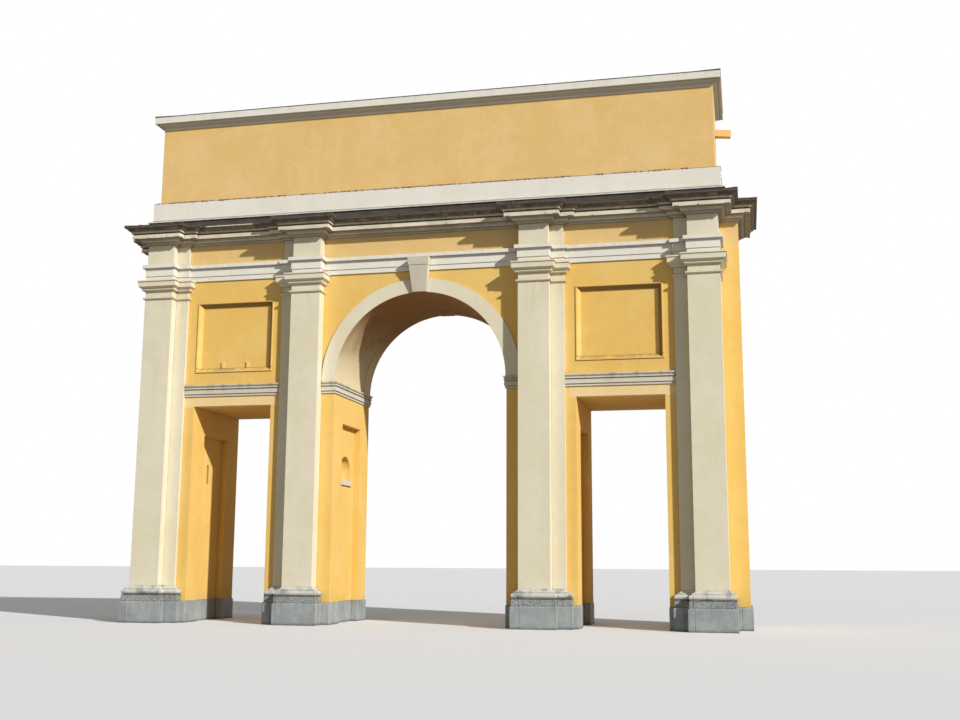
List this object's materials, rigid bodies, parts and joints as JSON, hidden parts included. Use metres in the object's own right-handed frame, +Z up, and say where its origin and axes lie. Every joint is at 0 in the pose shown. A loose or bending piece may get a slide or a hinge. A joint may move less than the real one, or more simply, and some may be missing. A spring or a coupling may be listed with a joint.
{
  "type": "triumphal arch",
  "caption": "Stuccoed triumphal arch with a tall round headed way between two lower square headed ones, Tuscan pilasters, a bold cornice and a plain attic.",
  "frame": {"origin": "centre of the plan at ground level, midway between the front and back faces", "axes": "+X along the front towards its right end, +Y from the front face to the back face, +Z up"},
  "size_m": [19.256, 5.076, 15.585],
  "materials": {
    "ochre_stucco": "matte",
    "cream_stucco": "matte",
    "white_stucco": "matte",
    "weathered_stucco": "matte",
    "stained_stone": "matte",
    "lead_sheet": "matte"
  },
  "bodies": {
    "root": {"left_outer_pier": "ochre_stucco", "left_inner_pier": "ochre_stucco", "right_inner_pier": "ochre_stucco", "right_outer_pier": "ochre_stucco", "left_bay_wall": "ochre_stucco", "right_bay_wall": "ochre_stucco", "arch_barrel": "ochre_stucco", "central_spandrels": "ochre_stucco", "left_outer_plinth": "stained_stone", "left_inner_plinth": "stained_stone", "right_inner_plinth": "stained_stone", "right_outer_plinth": "stained_stone", "pilaster_bases": "stained_stone", "front_left_outer_pilaster": "cream_stucco", "front_left_inner_pilaster": "cream_stucco", "front_right_inner_pilaster": "cream_stucco", "front_right_outer_pilaster": "cream_stucco", "back_left_outer_pilaster": "cream_stucco", "back_left_inner_pilaster": "cream_stucco", "back_right_inner_pilaster": "cream_stucco", "back_right_outer_pilaster": "cream_stucco", "front_capitals": "cream_stucco", "back_capitals": "cream_stucco", "pilaster_architraves": "white_stucco", "wall_architraves": "white_stucco", "frieze_blocks": "cream_stucco", "cornice": "weathered_stucco", "cornice_lead": "lead_sheet", "attic_podium": "weathered_stucco", "attic_base_course": "white_stucco", "attic_front_wall": "ochre_stucco", "attic_back_wall": "ochre_stucco", "attic_end_walls": "ochre_stucco", "attic_coping": "white_stucco", "coping_lead": "lead_sheet", "roof_deck": "lead_sheet", "water_spouts": "ochre_stucco", "front_archivolt": "cream_stucco", "back_archivolt": "cream_stucco", "keystones": "cream_stucco", "imposts": "white_stucco", "string_courses": "white_stucco", "panel_frames": "ochre_stucco", "side_lintels": "cream_stucco", "niche_sills": "white_stucco"}
  },
  "joints": []
}
